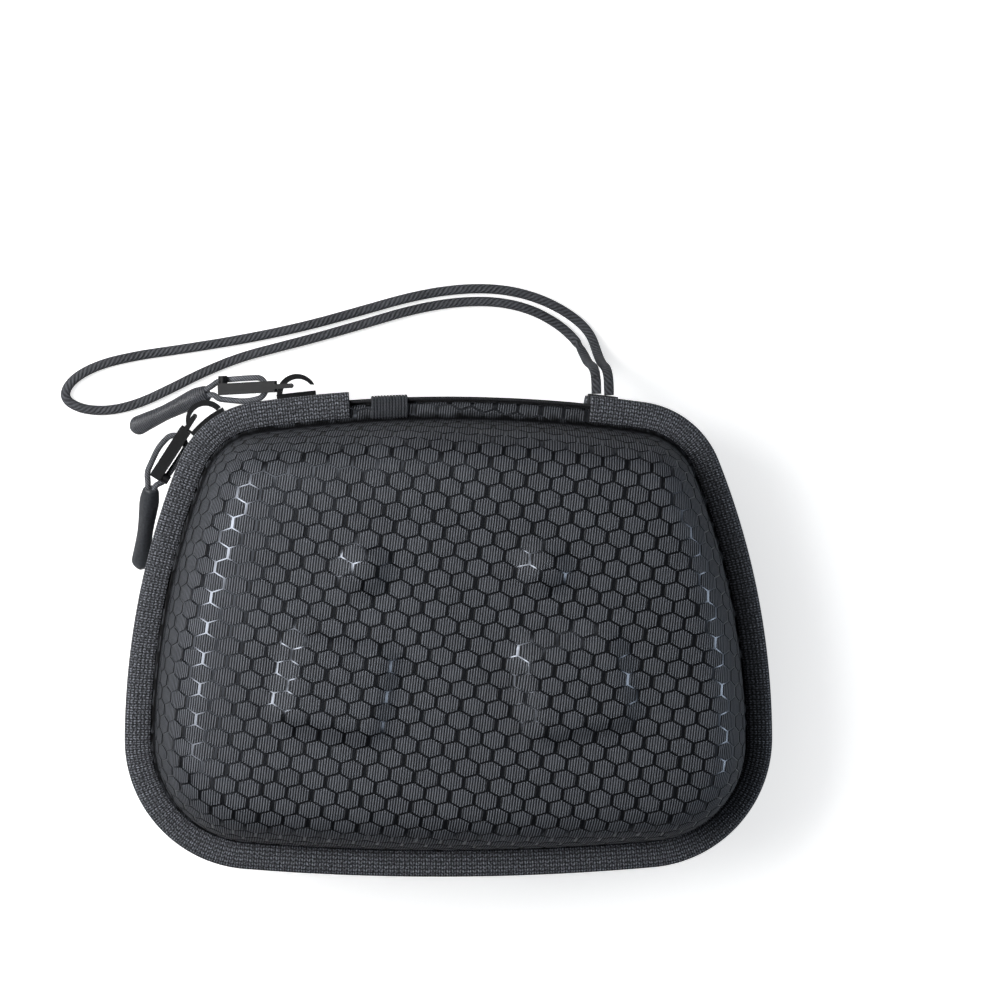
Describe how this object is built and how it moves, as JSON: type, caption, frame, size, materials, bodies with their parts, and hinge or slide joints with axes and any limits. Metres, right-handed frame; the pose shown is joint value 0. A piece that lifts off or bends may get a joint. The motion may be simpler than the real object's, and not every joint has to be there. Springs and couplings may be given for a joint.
{
  "type": "controller carrying case",
  "caption": "Zipped hard carrying case of embossed fabric for a hand-held controller, with a wrist strap and two sliders with pulls, lying closed on its back shell",
  "frame": {"origin": "centre of the flat back of the back shell, which rests on the table", "axes": "+Z out of the front of the case, +Y towards the hinge and the strap, +X to the right seen from the front"},
  "size_m": [0.209, 0.1727, 0.0745],
  "materials": {
    "shell_fabric": "charcoal embossed woven fabric laminated on moulded foam board",
    "binding_knit": "coarse knitted edge tape",
    "zipper_tape": "woven zipper tape",
    "zipper_coil": "nylon coil",
    "thread": "polyester thread",
    "strap_weave": "twill woven tape",
    "black_metal": "satin black lacquered zinc",
    "braided_cord": "braided cord",
    "grip_rubber": "moulded soft rubber"
  },
  "bodies": {
    "back_half": {"back_shell": "shell_fabric", "back_binding": "binding_knit", "back_zipper_tape": "zipper_tape", "back_zipper_coil": "zipper_coil", "hinge_fold": "shell_fabric", "strap_anchor": "strap_weave", "wrist_strap": "strap_weave"},
    "front_half": {"front_shell": "shell_fabric", "front_binding": "binding_knit", "front_zipper_tape": "zipper_tape", "front_zipper_coil": "zipper_coil", "hinge_whipping": "thread"},
    "left_slider": {"left_slider": "black_metal"},
    "left_pull": {"left_pull_tab": "black_metal", "left_pull_cord": "braided_cord", "left_pull_grip": "grip_rubber"},
    "top_slider": {"top_slider": "black_metal"},
    "top_pull": {"top_pull_tab": "black_metal", "top_pull_cord": "braided_cord", "top_pull_grip": "grip_rubber"}
  },
  "joints": [
    {"name": "lid_hinge", "type": "hinge", "parent": "back_half", "child": "front_half", "pos_m": [0, 0.0733, 0.03608], "axis": [-1, 0, 0], "range_deg": [0, 150], "deforming": ["hinge_fold", "front_zipper_tape", "front_zipper_coil"]},
    {"name": "left_slider_run", "type": "hinge", "parent": "back_half", "child": "left_slider", "pos_m": [-0.05268, 0.03961, 0.03608], "axis": [0, 0, 1], "range_deg": [0, 16]},
    {"name": "left_pull_swing", "type": "hinge", "parent": "left_slider", "child": "left_pull", "pos_m": [-0.07372, 0.06195, 0.03608], "axis": [0, 0, 1], "range_deg": [-16, 0]},
    {"name": "top_slider_run", "type": "slide", "parent": "back_half", "child": "top_slider", "axis": [-0.9939, -0.11, 0], "range_m": [-0.006, 0.003]},
    {"name": "top_pull_swing", "type": "hinge", "parent": "top_slider", "child": "top_pull", "pos_m": [-0.04594, 0.07103, 0.03608], "axis": [0, 0, 1], "range_deg": [-20, 0]}
  ],
  "couplings": [
    {"joint": "left_pull_swing", "follows": "left_slider_run", "ratio": -1}
  ]
}
